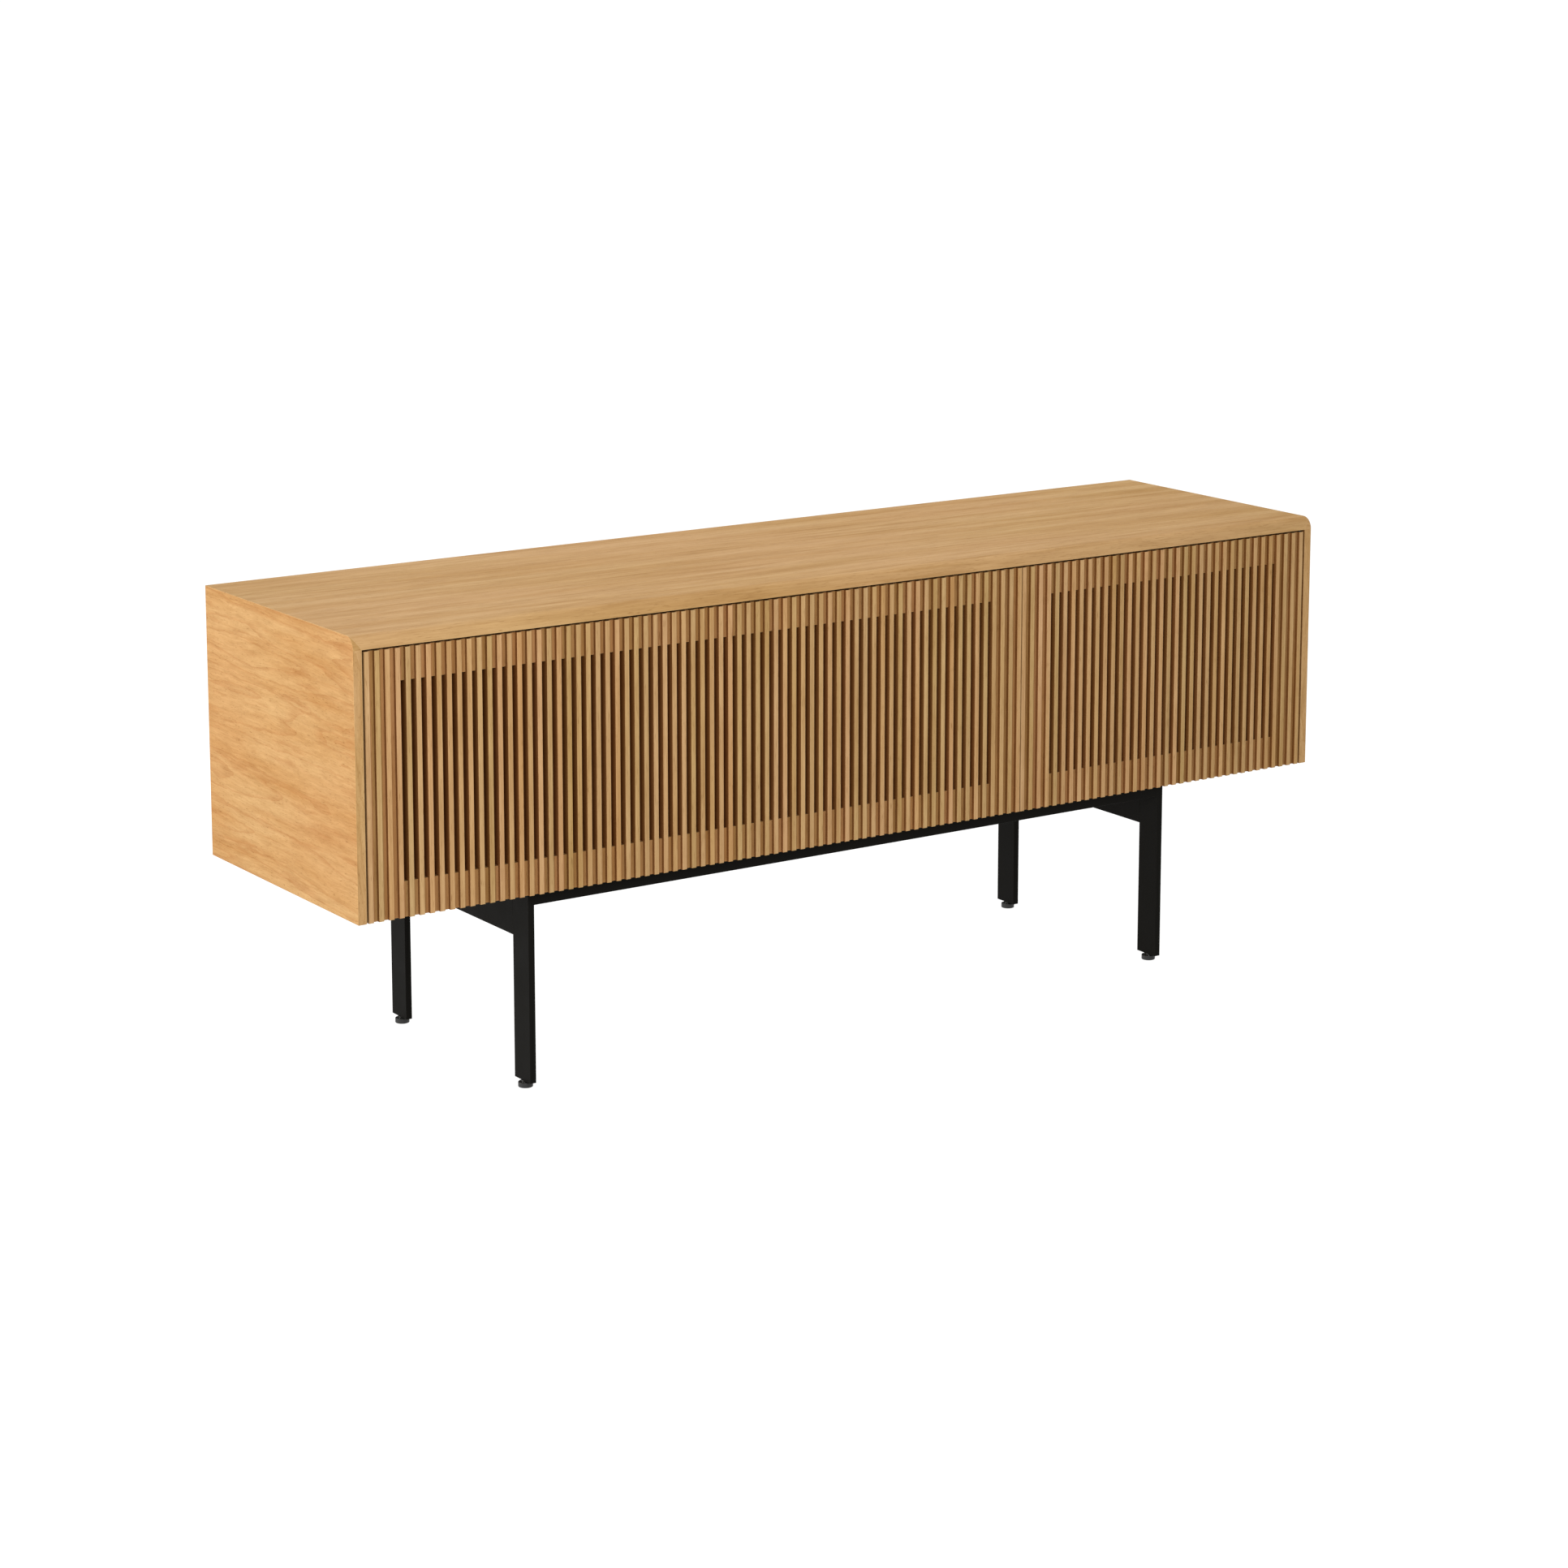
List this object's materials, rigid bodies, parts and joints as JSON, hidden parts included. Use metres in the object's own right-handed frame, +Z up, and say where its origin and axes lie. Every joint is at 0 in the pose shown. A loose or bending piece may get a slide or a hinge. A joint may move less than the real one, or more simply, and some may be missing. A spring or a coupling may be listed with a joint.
{
  "type": "media cabinet",
  "caption": "Long low media cabinet with a slatted drop-down front, a slatted side door and a black steel base",
  "frame": {"origin": "on the floor under the middle of the cabinet", "axes": "+X to the right as seen from the front, +Y to the back, +Z up"},
  "size_m": [1.72, 0.457, 0.695],
  "materials": {
    "oak_case": "matt lacquered oak veneer, straight grain",
    "oak_slats": "matt lacquered solid oak, grooved",
    "oak_inside": "matt oak veneer",
    "back_board": "matt oak foil on fibreboard",
    "beech": "raw beech",
    "black_steel": "fine matt black powder coat",
    "zinc_steel": "bright zinc plated",
    "screw_steel": "zinc plated",
    "stem_steel": "blackened steel",
    "grey_plastic": "moulded grey",
    "black_plastic": "moulded black"
  },
  "bodies": {
    "cabinet": {"back_board_narrow": "back_board", "back_board_wide": "back_board", "back_rail": "black_steel", "back_screws": "screw_steel", "base_corner_plates": "black_steel", "base_screws": "screw_steel", "bottom_panel": "oak_inside", "cable_grommets": "black_plastic", "carcass_dowels": "beech", "centre_partition": "oak_inside", "divider": "oak_inside", "door_pivot_pins": "zinc_steel", "door_pivot_plate_lower": "zinc_steel", "door_pivot_plate_upper": "zinc_steel", "flap_hinge_brackets": "zinc_steel", "front_rail": "black_steel", "hardware_screws": "screw_steel", "latch_body_door": "grey_plastic", "latch_body_flap_left": "grey_plastic", "latch_body_flap_right": "grey_plastic", "leg_back_left": "black_steel", "leg_back_right": "black_steel", "leg_front_left": "black_steel", "leg_front_right": "black_steel", "shelf": "oak_inside", "shelf_pins": "zinc_steel", "side_panel_left": "oak_case", "side_panel_right": "oak_case", "side_rail_left": "black_steel", "side_rail_right": "black_steel", "stay_housing_left": "grey_plastic", "stay_housing_right": "grey_plastic", "stay_studs": "zinc_steel", "top_panel": "oak_case"},
    "flap": {"flap_front": "oak_slats", "flap_hinge_leaves": "zinc_steel", "flap_hinge_pins": "zinc_steel", "flap_screws": "screw_steel", "flap_strike_plates": "zinc_steel", "stay_plate_left": "zinc_steel", "stay_plate_right": "zinc_steel", "stay_flap_pins": "zinc_steel"},
    "door": {"door_front": "oak_slats", "door_strike_plate": "zinc_steel"},
    "stay_arms": {"stay_arm_left": "zinc_steel", "stay_arm_right": "zinc_steel", "stay_elbow_pins": "zinc_steel"},
    "stay_links": {"stay_link_left": "zinc_steel", "stay_link_right": "zinc_steel"},
    "flap_plungers": {"latch_plunger_flap_left": "black_plastic", "latch_plunger_flap_right": "black_plastic"},
    "door_plunger": {"latch_plunger_door": "black_plastic"},
    "foot_front_left": {"foot_pad_front_left": "black_plastic", "foot_stem_front_left": "stem_steel"},
    "foot_front_right": {"foot_pad_front_right": "black_plastic", "foot_stem_front_right": "stem_steel"},
    "foot_back_left": {"foot_pad_back_left": "black_plastic", "foot_stem_back_left": "stem_steel"},
    "foot_back_right": {"foot_pad_back_right": "black_plastic", "foot_stem_back_right": "stem_steel"}
  },
  "joints": [
    {"name": "flap_drop", "type": "hinge", "parent": "cabinet", "child": "flap", "pos_m": [0, -0.2165, 0.301], "axis": [1, 0, 0], "range_deg": [0, 90]},
    {"name": "door_swing", "type": "hinge", "parent": "cabinet", "child": "door", "pos_m": [0.839, -0.22425, 0.4845], "axis": [0, 0, 1], "range_deg": [0, 90]},
    {"name": "stay_arm_turn", "type": "hinge", "parent": "cabinet", "child": "stay_arms", "pos_m": [0, -0.1465, 0.431], "axis": [1, 0, 0], "range_deg": [0, 90]},
    {"name": "stay_link_turn", "type": "hinge", "parent": "flap", "child": "stay_links", "pos_m": [0, -0.1975, 0.441], "axis": [1, 0, 0], "range_deg": [-90, 0]},
    {"name": "flap_plunger_push", "type": "slide", "parent": "cabinet", "child": "flap_plungers", "axis": [0, -1, 0], "range_m": [0, 0.03]},
    {"name": "door_plunger_push", "type": "slide", "parent": "cabinet", "child": "door_plunger", "axis": [0, -1, 0], "range_m": [0, 0.03]},
    {"name": "foot_turn_front_left", "type": "hinge", "parent": "cabinet", "child": "foot_front_left", "pos_m": [-0.5747, -0.18475, 0.0097], "axis": [0, 0, 1], "continuous": true},
    {"name": "foot_turn_front_right", "type": "hinge", "parent": "cabinet", "child": "foot_front_right", "pos_m": [0.5747, -0.18475, 0.0097], "axis": [0, 0, 1], "continuous": true},
    {"name": "foot_turn_back_left", "type": "hinge", "parent": "cabinet", "child": "foot_back_left", "pos_m": [-0.5747, 0.18475, 0.0097], "axis": [0, 0, 1], "continuous": true},
    {"name": "foot_turn_back_right", "type": "hinge", "parent": "cabinet", "child": "foot_back_right", "pos_m": [0.5747, 0.18475, 0.0097], "axis": [0, 0, 1], "continuous": true}
  ],
  "couplings": [
    {"joint": "stay_arm_turn", "follows": "flap_drop", "ratio": 1},
    {"joint": "stay_link_turn", "follows": "flap_drop", "ratio": -1},
    {"joint": "flap_plunger_push", "follows": "flap_drop", "m_per_rad": 0.019035},
    {"joint": "door_plunger_push", "follows": "door_swing", "m_per_rad": 0.019035}
  ]
}
